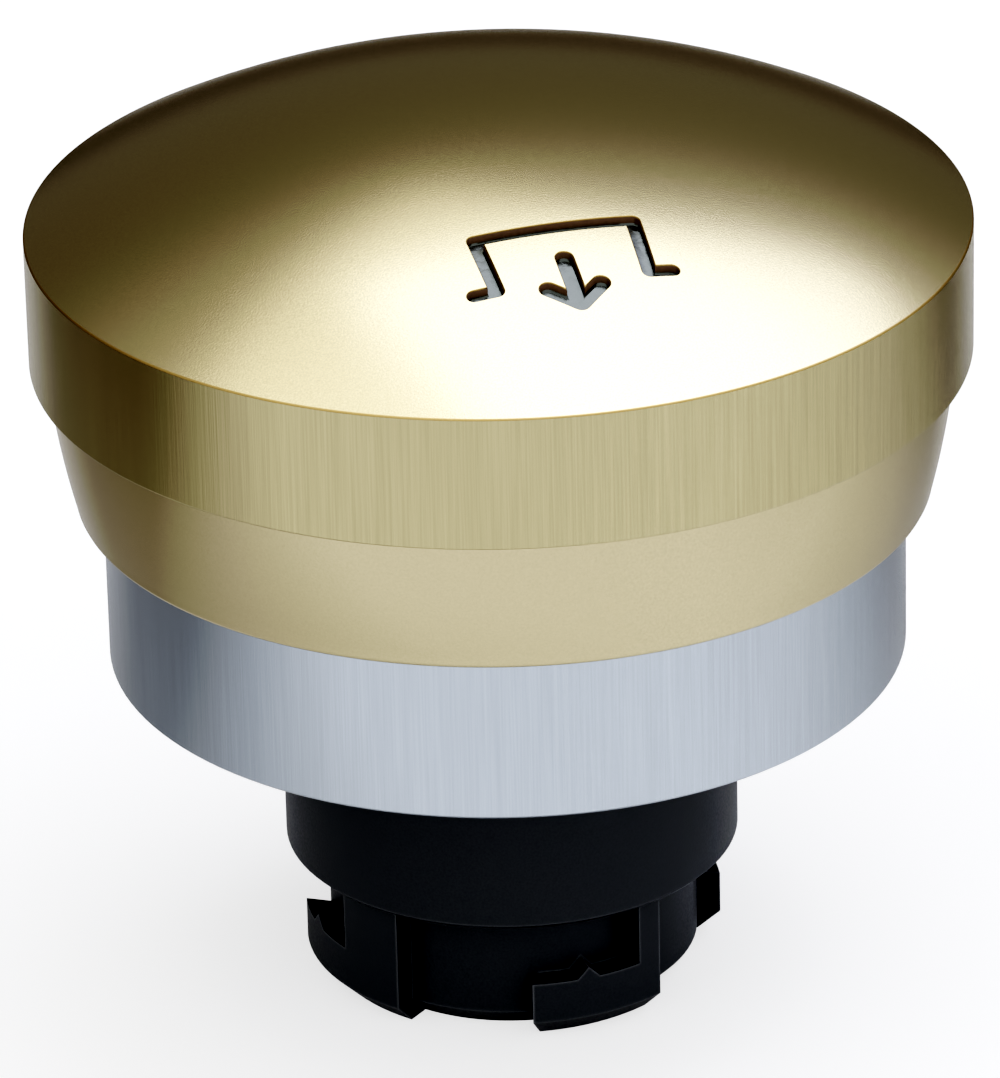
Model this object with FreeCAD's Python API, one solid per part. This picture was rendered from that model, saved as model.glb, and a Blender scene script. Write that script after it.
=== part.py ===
"""Mushroom-head push-button actuator for a 22.3 mm panel hole.

Millimetres. +Z points out of the panel through the cap. The origin is the centre of the
front ring's underside, which is the face that rests on the panel. Angles named ..._deg on
the housing are measured from the front (-Y) towards +X.
"""
import FreeCAD, Part
import math
import os

V = FreeCAD.Vector
ORIGIN = V(0, 0, 0)
Z_AXIS = V(0, 0, 1)

# ---------------------------------------------------------------- driving dimensions
travel = 5.0                # stroke of the button

cap_r = 22.5                # mushroom cap, brushed rim
cap_rim_z = 22.0            # edge between dome and rim
cap_dome_h = 5.85           # dome height above that edge
cap_rim_len = 6.53          # axial length of the brushed rim
cap_edge = 0.18             # broken edges of the rim
cap_wall = 2.4              # thickness of the dome
skirt_top_r = 21.7
skirt_mid_r = 21.27
skirt_low_r = 20.6
skirt_low_z = 8.45          # lower edge of the skirt, button released
skirt_round = 0.3
skirt_bore_r = 19.75

hub_r = 6.0                 # boss under the dome that takes the plunger
hub_low_z = 15.5
hub_socket_r = 3.55
hub_socket_top_z = 18.5

groove_depth = 0.62         # engraved pictogram
enamel_drop = 0.06          # the enamel ends this far below the dome
enamel_floor = 0.12         # its thickness on the floor of the engraving
enamel_wall = 0.08          # and on the walls
sign_angle_deg = 14.0       # the pictogram's upright, turned from the front towards +X
sign_shift = -0.26          # sideways of the radius at that angle
bracket_half_w = 3.77       # pictogram: upside-down channel with turned-out feet
bracket_in = 11.48          # distances from the cap's axis
bracket_out = 14.96
bracket_lean = 0.16
bracket_foot = 1.07
bracket_line = 0.72
arrow_shift = -0.06         # pictogram: arrow inside the channel
arrow_in = 13.6
arrow_out = 16.5
arrow_barb_w = 1.25
arrow_barb_in = 15.42
arrow_line = 0.88

ring_r = 19.28              # front ring
ring_h = 13.0
ring_wall = 1.98
ring_web_h = 3.6
ring_edge = 0.12
ring_bore_r = 11.65
gasket_in_r = 12.4          # recess for the panel gasket
gasket_out_r = 17.6
gasket_h = 1.0

collar_r = 11.05            # the collar fits the panel hole
collar_low_z = -10.4
collar_edge = 0.25
neck_r = 9.0                # the neck carries the bayonet lugs
neck_low_z = -17.05
neck_chamfer = 1.09
neck_bore_r = 7.2
clip_groove_r = 7.75
flange_r = 16.9
flange_top_z = 7.0
bead_seat_z = 5.8           # seat of the diaphragm's outer bead
bead_seat_r = 14.0
tower_r = 8.4               # short tower that holds the guide bush
tower_top_z = 8.4
bush_low_z = -1.0

lug_count = 4
lug_pitch_deg = 90.0
lug_r = 10.2
lug_first_deg = 4.4         # free end of the front lug, at its outer edge
lug_lead_deg = 20.0         # lead-in bevel of the free end
lug_slot_deg = 31.6         # open length of the bayonet slot
lug_rib_deg = 7.3
lug_key_rib_deg = 20.0      # the wide rib keys the contact carrier
lug_key_index = 3
lug_ledge_z = -13.86
tooth_at_deg = 15.9         # detent tooth, from the lug's free end
tooth_half_deg = 3.25
tooth_h = 0.6

seal_r = 13.2               # O-ring between housing flange and front ring
seal_wire_r = 0.6
screw_circle_r = 15.2       # clamp screws
screw_count = 3
screw_first_deg = 60.0
clamp_in_r = 12.3
clamp_h = 1.0

plunger_r = 4.5
plunger_low_z = -14.2
plunger_bore_r = 3.0
plunger_web_z = 11.0        # underside of the web under the cap screw's washer
plunger_flange_r = 6.9
plunger_flange_z = (-4.2, -2.2)
bush_r = 6.0
bush_flange_r = 7.2
bush_flange_h = 0.6
running_gap = 0.08          # radial clearance of the plunger in its bush
buffer_gap = 0.1            # between a buffer and the face that meets it
pin_r = 0.75                # anti-rotation pin
pin_half_len = 5.8
pin_z = 6.0
pin_slot_gap = 0.1

cap_screw_r = 1.5           # M3 x 12 cheese-head screw
cap_screw_len = 12.0
cap_screw_head_r = 2.75
cap_screw_head_h = 2.0
lock_washer_h = 1.0
insert_r = 2.3              # threaded insert in the cap's boss

spring_wire_r = 0.4
spring_mean_r = 5.9
spring_turns = 6
seat_z = (-15.4, -14.6)
clip_h = 0.8


# ---------------------------------------------------------------- helpers
def turned(*outline):
    """Solid of revolution about Z from (r, z) points; a three-part entry is an arc (via, end)."""
    edges = []
    here = outline[0]
    for step in list(outline[1:]) + [outline[0]]:
        start = V(here[0], 0, here[1])
        if step[0] == "arc":
            via, end = step[1], step[2]
            edges.append(Part.Arc(start, V(via[0], 0, via[1]), V(end[0], 0, end[1])).toShape())
            here = end
        else:
            if math.dist(here, step) > 1e-6:
                edges.append(Part.LineSegment(start, V(step[0], 0, step[1])).toShape())
            here = step
    return Part.Face(Part.Wire(edges)).revolve(ORIGIN, Z_AXIS, 360)


def disc(r, z_low, z_high, bore=0.0):
    """Plain round piece, with a bore if one is given."""
    solid = Part.makeCylinder(r, z_high - z_low, V(0, 0, z_low))
    if bore:
        solid = solid.cut(Part.makeCylinder(bore, z_high - z_low, V(0, 0, z_low)))
    return solid


def sector(outline, start_deg, sweep_deg):
    """Part of a revolution; start_deg is measured from the front towards +X."""
    points = [V(r, 0, z) for r, z in outline]
    face = Part.Face(Part.makePolygon(points + points[:1]))
    solid = face.revolve(ORIGIN, Z_AXIS, sweep_deg)
    solid.rotate(ORIGIN, Z_AXIS, start_deg - 90)
    return solid


def around(count, first_deg, radius):
    """Points equally spaced on a circle in the XY plane."""
    for k in range(count):
        turn = math.radians(first_deg + 360.0 * k / count)
        yield V(radius * math.cos(turn), radius * math.sin(turn), 0)


def torus(major_r, wire_r, z):
    return Part.makeTorus(major_r, wire_r, V(0, 0, z))


def save(name, shape):
    shape = shape.removeSplitter() if len(shape.Solids) == 1 else shape
    assert shape.isValid(), name
    shape.exportStep("parts/%s.step" % name)
    print("%-20s solids %d  volume %9.2f" % (name, len(shape.Solids), shape.Volume))


# ---------------------------------------------------------------- the cap and its pictogram
dome_r = (cap_r ** 2 + cap_dome_h ** 2) / (2 * cap_dome_h)
dome_centre_z = cap_rim_z + cap_dome_h - dome_r
rim_low_z = cap_rim_z - cap_rim_len


def dome_z(r, inset=0.0):
    """Height of the dome, or of a surface parallel to it, at a distance from the axis."""
    return dome_centre_z + math.sqrt((dome_r - inset) ** 2 - r ** 2)


def ball(inset):
    """The sphere that lies a given depth inside the dome."""
    return Part.makeSphere(dome_r - inset, V(0, 0, dome_centre_z))


def stroke(a, b, width):
    """Round-ended vertical prism along one line of the pictogram."""
    low, tall = cap_rim_z - 2, cap_dome_h + 4
    run = math.dist(a, b)
    bar = Part.makeBox(run, width, tall, V(0, -width / 2, low))
    bar.rotate(ORIGIN, Z_AXIS, math.degrees(math.atan2(b[1] - a[1], b[0] - a[0])))
    bar.translate(V(a[0], a[1], 0))
    ends = [Part.makeCylinder(width / 2, tall, V(p[0], p[1], low)) for p in (a, b)]
    return bar.fuse(ends)


def pictogram(inset=0.0):
    """Channel with feet and an arrow, drawn along -Y and then turned to its own radius."""
    bracket_w = bracket_line - 2 * inset
    arrow_w = arrow_line - 2 * inset
    tip = (arrow_shift, -arrow_out)
    strokes = [stroke((arrow_shift, -arrow_in), tip, arrow_w)]
    for side in (-1, 1):
        top = (side * bracket_half_w, -bracket_in)
        foot = (side * (bracket_half_w - bracket_lean), -bracket_out)
        toe = (foot[0] + side * bracket_foot, -bracket_out)
        strokes += [stroke((0, -bracket_in), top, bracket_w), stroke(top, foot, bracket_w),
                    stroke(foot, toe, bracket_w)]
        barb = (arrow_shift + side * arrow_barb_w, -arrow_barb_in)
        strokes.append(stroke(barb, tip, arrow_w))
    sign = strokes[0].fuse(strokes[1:])
    sign.translate(V(sign_shift, 0, 0))
    sign.rotate(ORIGIN, Z_AXIS, sign_angle_deg)
    return sign


def mushroom_cap(sign):
    wall_top_z = dome_z(skirt_bore_r, cap_wall)
    dome_mid_r = cap_r / 2
    ceiling_mid_r = (skirt_bore_r + hub_r) / 2
    insert_top_z = hub_socket_top_z + 4.5
    skirt_mid_z = (rim_low_z + skirt_low_z) / 2
    round_mid = skirt_round * (1 - math.sqrt(0.5))
    body = turned(
        (0, dome_z(0)),
        ("arc", (dome_mid_r, dome_z(dome_mid_r)), (cap_r - cap_edge, dome_z(cap_r - cap_edge))),
        (cap_r, cap_rim_z - cap_edge),
        (cap_r, rim_low_z + cap_edge),
        (cap_r - cap_edge, rim_low_z),
        (skirt_top_r, rim_low_z),
        ("arc", (skirt_mid_r, skirt_mid_z), (skirt_low_r, skirt_low_z + skirt_round)),
        ("arc", (skirt_low_r - round_mid, skirt_low_z + round_mid),
         (skirt_low_r - skirt_round, skirt_low_z)),
        (skirt_bore_r + 0.1, skirt_low_z),
        (skirt_bore_r, skirt_low_z + 0.1),
        (skirt_bore_r, wall_top_z),
        ("arc", (ceiling_mid_r, dome_z(ceiling_mid_r, cap_wall)), (hub_r, dome_z(hub_r, cap_wall))),
        (hub_r, hub_low_z),
        (hub_socket_r, hub_low_z),
        (hub_socket_r, hub_socket_top_z),
        (insert_r, hub_socket_top_z),
        (insert_r, insert_top_z),
        (0, insert_top_z))
    return body.cut(sign.cut(ball(groove_depth)))


def pictogram_fill(sign):
    """Enamel that lines the floor and the walls of the engraving."""
    full = sign.common(ball(enamel_drop)).cut(ball(groove_depth))
    return full.cut(pictogram(enamel_wall).cut(ball(groove_depth - enamel_floor)))


def threaded_insert():
    return disc(insert_r, hub_socket_top_z, hub_socket_top_z + 4.3, cap_screw_r + 0.02)


def diaphragm_band():
    """Wire band that holds the diaphragm's sleeve on the cap's boss."""
    return torus(sleeve_r + band_wire_r + grip_gap, band_wire_r, band_z)


# ---------------------------------------------------------------- plunger and what rides on it
def cross_cylinder(r, half_len, z):
    """Cylinder along X through the axis."""
    return Part.makeCylinder(r, 2 * half_len, V(-half_len, 0, z), V(1, 0, 0))


def plunger():
    spigot_top_z = hub_socket_top_z - 0.1
    edge = 0.4
    low_f, high_f = plunger_flange_z
    body = turned(
        (plunger_bore_r, plunger_low_z), (plunger_r - edge, plunger_low_z),
        (plunger_r, plunger_low_z + edge), (plunger_r, low_f), (plunger_flange_r, low_f),
        (plunger_flange_r, high_f), (plunger_r, high_f), (plunger_r, hub_low_z),
        (hub_socket_r - 0.05, hub_low_z), (hub_socket_r - 0.05, spigot_top_z),
        (cap_screw_r + 0.15, spigot_top_z), (cap_screw_r + 0.15, plunger_web_z),
        (plunger_bore_r, plunger_web_z))
    return body.cut(cross_cylinder(pin_r, plunger_flange_r, pin_z))


def anti_rotation_pin():
    """Dowel through the plunger; its ends slide in the slots of the bush."""
    pin = cross_cylinder(pin_r, pin_half_len, pin_z)
    rim = [e for e in pin.Edges if isinstance(e.Curve, Part.Circle)]
    return pin.makeChamfer(0.15, rim)


def pusher_foot():
    """Foot that presses the contact block; its spigot plugs the plunger."""
    foot_low_z = plunger_low_z - 1.6
    spigot_r = plunger_bore_r - 0.02
    return turned(
        (0, foot_low_z), (3.6, foot_low_z), (4.3, foot_low_z + 0.7), (4.3, plunger_low_z),
        (spigot_r, plunger_low_z), (spigot_r, plunger_low_z + 2.7), (spigot_r - 0.4, plunger_low_z + 3.1),
        (0, plunger_low_z + 3.1))


def cap_screw():
    head_top_z = plunger_web_z - lock_washer_h
    head_low_z = head_top_z - cap_screw_head_h
    tip_z = head_top_z + cap_screw_len
    body = turned(
        (0, head_low_z), (cap_screw_head_r - 0.25, head_low_z), (cap_screw_head_r, head_low_z + 0.3),
        (cap_screw_head_r, head_top_z), (cap_screw_r, head_top_z), (cap_screw_r, tip_z - 0.4),
        (cap_screw_r - 0.4, tip_z), (0, tip_z))
    slot = Part.makeBox(2 * cap_screw_head_r, 0.8, 0.85, V(-cap_screw_head_r, -0.4, head_low_z))
    return body.cut(slot)


def lock_washer():
    """Split spring washer under the screw's head."""
    washer = disc(2.8, plunger_web_z - lock_washer_h, plunger_web_z, cap_screw_r + 0.05)
    split = Part.makeBox(3.0, 0.35, lock_washer_h, V(0, -0.175, plunger_web_z - lock_washer_h))
    return washer.cut(split)


# ---------------------------------------------------------------- front ring and panel gasket
def screw_holes(r, z_low, z_high):
    return [Part.makeCylinder(r, z_high - z_low, p + V(0, 0, z_low))
            for p in around(screw_count, screw_first_deg, screw_circle_r)]


def front_ring():
    wall_r = ring_r - ring_wall
    top_edge = 0.3
    body = turned(
        (ring_bore_r, 0), (gasket_in_r, 0), (gasket_in_r, gasket_h), (gasket_out_r, gasket_h),
        (gasket_out_r, 0), (ring_r - ring_edge, 0), (ring_r, ring_edge), (ring_r, ring_h - top_edge),
        (ring_r - top_edge, ring_h), (wall_r + top_edge, ring_h), (wall_r, ring_h - top_edge),
        (wall_r, ring_web_h), (ring_bore_r, ring_web_h))
    return body.cut(screw_holes(1.02, gasket_h, ring_web_h))


def panel_gasket():
    """Flat ring in the recess, with two shallow V-grooves in its sealing face."""
    play = 0.05
    groove_rs = (gasket_in_r + 1.8, gasket_in_r + 3.6)
    outline = [(gasket_in_r + play, 0)]
    for r in groove_rs:
        outline += [(r - 0.3, 0), (r, 0.3), (r + 0.3, 0)]
    outline += [(gasket_out_r - play, 0), (gasket_out_r - play, gasket_h), (gasket_in_r + play, gasket_h)]
    return turned(*outline)


# ---------------------------------------------------------------- bayonet housing
def lug(index):
    """L-shaped bayonet lug: a ledge under an open slot, closed by a rib, with a detent tooth."""
    start = lug_first_deg + index * lug_pitch_deg
    rib_sweep = lug_key_rib_deg if index == lug_key_index else lug_rib_deg
    root_r = clip_groove_r + 0.1
    early_deg = 5.0
    overlap_deg = 0.5
    foot = [(lug_r, neck_low_z + neck_chamfer), (lug_r - neck_chamfer, neck_low_z), (root_r, neck_low_z)]
    ledge = sector([(root_r, lug_ledge_z), (lug_r, lug_ledge_z)] + foot,
                   start - early_deg, early_deg + lug_slot_deg + overlap_deg)
    ledge = ledge.cut(lead_in_block(start))
    rib = sector([(root_r, collar_low_z), (lug_r, collar_low_z)] + foot, start + lug_slot_deg, rib_sweep)
    return ledge.fuse([rib, detent_tooth(start + tooth_at_deg)])


def lead_in_block(at_deg):
    """Block whose slanted side bevels a ledge's free end, through the end's outer edge."""
    reach = 3.0
    height = 8.0
    block = Part.makeBox(2 * reach, 2 * reach, height, V(-reach, -2 * reach, neck_low_z - 1))
    block.rotate(ORIGIN, Z_AXIS, -lug_lead_deg)
    block.translate(V(lug_r, 0, 0))
    block.rotate(ORIGIN, Z_AXIS, at_deg - 90)
    return block


def detent_tooth(at_deg):
    """V-shaped tooth across a ledge, rounded to the lug's outer radius."""
    half_w = lug_r * math.tan(math.radians(tooth_half_deg))
    outer = lug_r + 1
    corners = [V(outer, -half_w, lug_ledge_z), V(outer, half_w, lug_ledge_z),
               V(outer, 0, lug_ledge_z + tooth_h)]
    tooth = Part.Face(Part.makePolygon(corners + corners[:1])).extrude(V(neck_r - outer - 0.5, 0, 0))
    tooth = tooth.common(disc(lug_r, neck_low_z, collar_low_z))
    tooth.rotate(ORIGIN, Z_AXIS, at_deg - 90)
    return tooth


def bayonet_housing():
    seal_half = seal_wire_r + 0.1
    edge = 0.3
    body = turned(
        (bush_r, bush_low_z), (bush_r, tower_top_z), (tower_r - edge, tower_top_z),
        (tower_r, tower_top_z - edge), (tower_r, bead_seat_z), (bead_seat_r, bead_seat_z),
        (bead_seat_r, flange_top_z), (flange_r, flange_top_z), (flange_r, ring_web_h),
        (seal_r + seal_half, ring_web_h), (seal_r + seal_half, ring_web_h + 2 * seal_wire_r),
        (seal_r - seal_half, ring_web_h + 2 * seal_wire_r), (seal_r - seal_half, ring_web_h),
        (ring_bore_r - 0.05, ring_web_h), (ring_bore_r - 0.05, 0), (collar_r, 0),
        (collar_r, collar_low_z + collar_edge), (collar_r - collar_edge, collar_low_z),
        (neck_r, collar_low_z), (neck_r, neck_low_z + neck_chamfer),
        (neck_r - neck_chamfer, neck_low_z), (neck_bore_r, neck_low_z),
        (neck_bore_r, seat_z[0] - clip_h - 0.05), (clip_groove_r, seat_z[0] - clip_h - 0.05),
        (clip_groove_r, seat_z[0] + 0.05), (neck_bore_r, seat_z[0] + 0.05), (neck_bore_r, bush_low_z))
    body = body.fuse([lug(k) for k in range(lug_count)])
    return body.cut(screw_holes(1.1, ring_web_h, flange_top_z))


def ring_o_ring():
    return torus(seal_r, seal_wire_r, ring_web_h + seal_wire_r)


# ---------------------------------------------------------------- guide, buffers, spring
def guide_bush():
    bore_r = plunger_r + running_gap
    top_z = tower_top_z + bush_flange_h
    body = turned(
        (bore_r, bush_low_z), (bush_r, bush_low_z), (bush_r, tower_top_z), (bush_flange_r, tower_top_z),
        (bush_flange_r, top_z), (bore_r, top_z))
    slot_w = 2 * (pin_r + pin_slot_gap)
    slot_top_z = pin_z + pin_r + 0.25
    slots = Part.makeBox(2 * bush_r + 1, slot_w, slot_top_z - bush_low_z,
                         V(-bush_r - 0.5, -slot_w / 2, bush_low_z))
    return body.cut(slots)


def press_buffer():
    """Rubber ring on the bush that ends the stroke under the cap's boss."""
    low_z = tower_top_z + bush_flange_h
    return disc(6.6, low_z, hub_low_z - travel - buffer_gap, plunger_r + 0.5)


def return_buffer():
    """Rubber ring that the plunger's flange comes back against."""
    return disc(neck_bore_r - 0.05, plunger_flange_z[1] + buffer_gap, bush_low_z, plunger_r + 0.5)


def return_spring():
    low_z = seat_z[1] + spring_wire_r
    high_z = plunger_flange_z[0] - spring_wire_r
    height = high_z - low_z
    path = Part.Wire(Part.makeLongHelix(height / spring_turns, height, spring_mean_r).Edges)
    path.translate(V(0, 0, low_z))
    section = Part.Wire(Part.makeCircle(spring_wire_r, V(spring_mean_r, 0, low_z), V(0, 1, 0)))
    return path.makePipeShell([section], True, True)


def spring_seat():
    return disc(neck_bore_r - 0.1, seat_z[0], seat_z[1], plunger_r + 0.6)


def retaining_ring():
    """Internal circlip in the neck's groove, with two eyes for the pliers."""
    low_z, high_z = seat_z[0] - clip_h, seat_z[0]
    gap_half_deg = 17.0
    ring = disc(clip_groove_r - 0.05, low_z, high_z, 6.35)
    eyes = []
    holes = []
    for side in (-1, 1):
        turn = math.radians(-90 + side * (gap_half_deg + 9))
        eye_centre = V(6.35 * math.cos(turn), 6.35 * math.sin(turn), low_z)
        eyes.append(Part.makeCylinder(1.05, clip_h, eye_centre))
        holes.append(Part.makeCylinder(0.45, clip_h, eye_centre))
    gap = sector([(0, low_z - 1), (12, low_z - 1), (12, high_z + 1), (0, high_z + 1)],
                 -gap_half_deg, 2 * gap_half_deg)
    return ring.fuse(eyes).cut([gap] + holes)


# ---------------------------------------------------------------- diaphragm and its clamp
sleeve_r = hub_r + 1.0
band_wire_r = 0.35
band_z = 17.3
web_t = 0.8
grip_gap = 0.06             # between the rubber sleeve and the parts that grip it


def sealing_diaphragm():
    """Rubber bellows: outer bead on the housing, one fold, and a sleeve on the cap's boss."""
    bead_top_z = flange_top_z
    sleeve_low_z = 16.0
    sleeve_top_z = 18.6
    bead_in_r = 11.2
    bead_out_r = bead_seat_r - 0.05
    return turned(
        (bead_in_r, bead_seat_z), (bead_out_r, bead_seat_z), (bead_out_r, bead_top_z),
        (bead_in_r + web_t + 0.1, bead_top_z),
        ("arc", (bead_in_r + 0.3, bead_top_z + 3.2), (9.4, bead_top_z + 5.4)),
        ("arc", (7.5, bead_top_z + 7.3), (sleeve_r, sleeve_low_z + 0.5)),
        (sleeve_r, sleeve_top_z - 0.7), (sleeve_r + 0.4, sleeve_top_z - 0.5),
        (sleeve_r + 0.4, sleeve_top_z), (hub_r + grip_gap, sleeve_top_z), (hub_r + grip_gap, sleeve_low_z),
        ("arc", (6.9, bead_top_z + 6.7), (8.8, bead_top_z + 4.9)),
        ("arc", (bead_in_r - 0.45, bead_top_z + 2.8), (bead_in_r, bead_top_z)))


def clamp_ring():
    return disc(flange_r, flange_top_z, flange_top_z + clamp_h, clamp_in_r).cut(
        screw_holes(1.15, flange_top_z, flange_top_z + clamp_h))


def clamp_screws():
    """M2 cheese-head screws through clamp ring and flange into the front ring's web."""
    head_low_z = flange_top_z + clamp_h
    head_top_z = head_low_z + 1.3
    tip_z = gasket_h + 0.4
    screw = turned(
        (0, tip_z), (0.7, tip_z), (1.0, tip_z + 0.3), (1.0, head_low_z), (1.9, head_low_z),
        (1.9, head_top_z - 0.2), (1.7, head_top_z), (0, head_top_z))
    screw = screw.cut(Part.makeBox(4, 0.5, 0.6, V(-2, -0.25, head_top_z - 0.6)))
    group = []
    for place in around(screw_count, screw_first_deg, screw_circle_r):
        copy = screw.copy()
        copy.translate(place)
        group.append(copy)
    return Part.makeCompound(group)


# ---------------------------------------------------------------- write every piece
os.makedirs("parts", exist_ok=True)
sign_shape = pictogram()
save("mushroom_cap", mushroom_cap(sign_shape))
save("pictogram_fill", pictogram_fill(sign_shape))
for make in (threaded_insert, diaphragm_band, plunger, anti_rotation_pin, pusher_foot, cap_screw,
             lock_washer, front_ring, panel_gasket, bayonet_housing, ring_o_ring, guide_bush,
             press_buffer, return_buffer, return_spring, spring_seat, retaining_ring,
             sealing_diaphragm, clamp_ring, clamp_screws):
    save(make.__name__, make())
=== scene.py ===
import math

import bmesh
import bpy
from mathutils import Euler, Matrix, Vector
from mathutils.geometry import delaunay_2d_cdt


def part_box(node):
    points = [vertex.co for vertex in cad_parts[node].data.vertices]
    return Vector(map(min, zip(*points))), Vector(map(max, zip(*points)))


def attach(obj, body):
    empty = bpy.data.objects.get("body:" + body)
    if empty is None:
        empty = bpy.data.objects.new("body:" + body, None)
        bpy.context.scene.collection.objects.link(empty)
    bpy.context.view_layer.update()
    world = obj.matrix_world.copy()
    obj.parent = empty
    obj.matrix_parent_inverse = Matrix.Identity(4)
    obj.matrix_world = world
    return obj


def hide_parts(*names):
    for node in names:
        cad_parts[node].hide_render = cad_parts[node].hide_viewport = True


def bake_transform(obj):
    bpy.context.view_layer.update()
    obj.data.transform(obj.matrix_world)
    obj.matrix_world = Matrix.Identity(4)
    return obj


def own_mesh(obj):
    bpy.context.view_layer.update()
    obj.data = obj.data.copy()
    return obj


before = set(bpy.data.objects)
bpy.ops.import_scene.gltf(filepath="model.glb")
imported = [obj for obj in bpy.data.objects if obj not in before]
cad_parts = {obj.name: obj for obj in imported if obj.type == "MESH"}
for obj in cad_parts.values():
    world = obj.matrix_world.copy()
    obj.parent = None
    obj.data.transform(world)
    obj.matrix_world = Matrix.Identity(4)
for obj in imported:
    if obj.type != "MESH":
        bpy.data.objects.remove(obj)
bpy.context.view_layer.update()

# Lengths are millimetres until a mesh is made, and Blender's are metres.
MM = 0.001
FIXED_BODY = "housing"
MOVING_BODY = "button"


def box(node):
    """Lowest and highest corner of a CAD node at rest, in millimetres."""
    low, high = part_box(node)
    return low / MM, high / MM


# ---------------------------------------------------------------- sizes read from the frame
CAP_LOW, CAP_HIGH = box("mushroom_cap")
HOUSING_LOW = box("bayonet_housing")[0]
CAP_R = CAP_HIGH.x
DOME_HEIGHT = 0.26 * CAP_R
RIM_Z = CAP_HIGH.z - DOME_HEIGHT
RIM_LENGTH = 0.2902 * CAP_R
RIM_LOW_Z = RIM_Z - RIM_LENGTH
RIM_BAND = 0.5  # plain bands of the rim beside its rounded edges
CAP_EDGE = 0.08
EDGE_MIDDLE, EDGE_FALL = (0.32, 0.42), 1.15  # the dome's soft edge, in shares of CAP_EDGE
RIM_ROUND = 0.12
ROUND_MIDDLE = 0.29  # how far the middle of a quarter round stands in, as a share of its radius
SKIRT_TOP_R, SKIRT_MID_R, SKIRT_LOW_R = 21.7, 21.27, 20.6
SKIRT_ROUND = 0.3
SKIRT_BORE_R, BORE_CHAMFER = 19.75, 0.1
CAP_WALL = 2.4
HUB_R, HUB_LOW_Z = 6.0, 15.5
SOCKET_R, SOCKET_TOP_Z = 3.55, 18.5
INSERT_R, INSERT_TOP_Z = 2.3, 23.0
SPRING_WIRE_R, SPRING_TURNS, SPRING_CLOSED_TURNS, SPRING_SLOPE = 0.4, 6, 0.75, 0.06

# The diaphragm. Its fold's points are (radius, height above the bead), its rib's are (outwards, down).
BEAD_HEIGHT, BEAD_ROUND, BEAD_SHELF, FOLD_INSET = 1.2, 0.15, 2.0, 2.45
FOLD_LOW, FOLD_OUTSIDE, FOLD_INSIDE = 3.2, ((9.4, 5.4), (7.5, 7.3)), ((6.9, 6.7), (8.8, 4.9), (10.75, 2.8))
BEAD_BORE_R = 11.2
SLEEVE_HEIGHT, SLEEVE_FOOT, SLEEVE_GAP, SLEEVE_WALL = 2.6, 0.5, 0.06, 1.0
SLEEVE_RIB = ((0, 0.75), (0.38, 0.5), (0.38, 0.1), (0.28, 0))

# The cap's spherical dome
DOME_SPHERE_R = (CAP_R ** 2 + DOME_HEIGHT ** 2) / (2 * DOME_HEIGHT)
DOME_CENTRE_Z = CAP_HIGH.z - DOME_SPHERE_R

# Fineness of the meshes
SEGMENTS, BELLOWS_SEGMENTS = 240, 96
DOME_STEP, OUTLINE_STEP, OUTLINE_DEG = 1.0, 0.4, 15
ROUND_STEPS, FLOOR_STEPS = 6, 8
COIL_STEPS, WIRE_POINTS = 36, 14
SAME_POINT, NO_EDGE = 2e-4, 1e-4  # closer points are joined, shorter edges dropped
TINY = 1e-6

# ---------------------------------------------------------------- the engraved sign, as in the CAD model
SIGN_ANGLE, SIGN_SHIFT = 14.0, -0.26
BRACKET_HALF_W, BRACKET_IN, BRACKET_OUT = 3.77, 11.48, 14.96
BRACKET_LEAN, BRACKET_FOOT, BRACKET_LINE = 0.16, 1.07, 0.72
ARROW_SHIFT, ARROW_IN, ARROW_OUT = -0.06, 13.6, 16.5
ARROW_BARB_W, ARROW_BARB_IN, ARROW_LINE = 1.25, 15.42, 0.88
LIP, LIP_ANGLES = 0.03, (0, 0.52, 1.05, math.pi / 2)
LIP_BAND = 2.5 * LIP  # from the stroke's edge to where the dome's own triangles start
SIGN_CLEARANCE = 0.35  # the dome's inner points keep this far from a stroke's edge
GROOVE_WALL, GROOVE_DEPTH = 0.2, 0.62
ENAMEL_DROP, ENAMEL_WALL, ENAMEL_SIDE, ENAMEL_DEPTH = 0.06, 0.03, 0.43, 0.46
ENAMEL_FALL = 0.01  # of a wall's top, towards the middle
ENAMEL_GAP, ENAMEL_BED = 0.004, 0.01  # between the enamel and the engraving, beside and below it
# the edge slot holds painted shade: a darker gold on the rounded edges and the engraving's lip and walls
PAINT_DOME, PAINT_SHADED_EDGE, PAINT_RIM, PAINT_SKIRT, PAINT_INSIDE = range(5)


# ---------------------------------------------------------------- material helpers
def material(name, colour, metallic=0.0, roughness=0.5, **sockets):
    """A Principled material. Further sockets are given by their names, with _ for a space."""
    made = bpy.data.materials.new(name)
    made.use_nodes = True
    shader = made.node_tree.nodes["Principled BSDF"]
    shader.inputs["Base Color"].default_value = (*colour, 1)
    shader.inputs["Metallic"].default_value = metallic
    shader.inputs["Roughness"].default_value = roughness
    for socket, value in sockets.items():
        shader.inputs[socket.replace("_", " ").title().replace("Ior", "IOR")].default_value = value
    return made


def noise(made, size, stretch=(1, 1, 1), detail=2.0):
    """Noise in the object's own space whose grain is about size millimetres, times stretch."""
    nodes, links = made.node_tree.nodes, made.node_tree.links
    place = nodes.new("ShaderNodeTexCoord")
    scale = nodes.new("ShaderNodeMapping")
    texture = nodes.new("ShaderNodeTexNoise")
    scale.inputs["Scale"].default_value = [1 / (size * MM * s) for s in stretch]
    texture.inputs["Scale"].default_value = 1
    texture.inputs["Detail"].default_value = detail
    links.new(place.outputs["Object"], scale.inputs["Vector"])
    links.new(scale.outputs["Vector"], texture.inputs["Vector"])
    return texture.outputs["Fac"]


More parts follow.
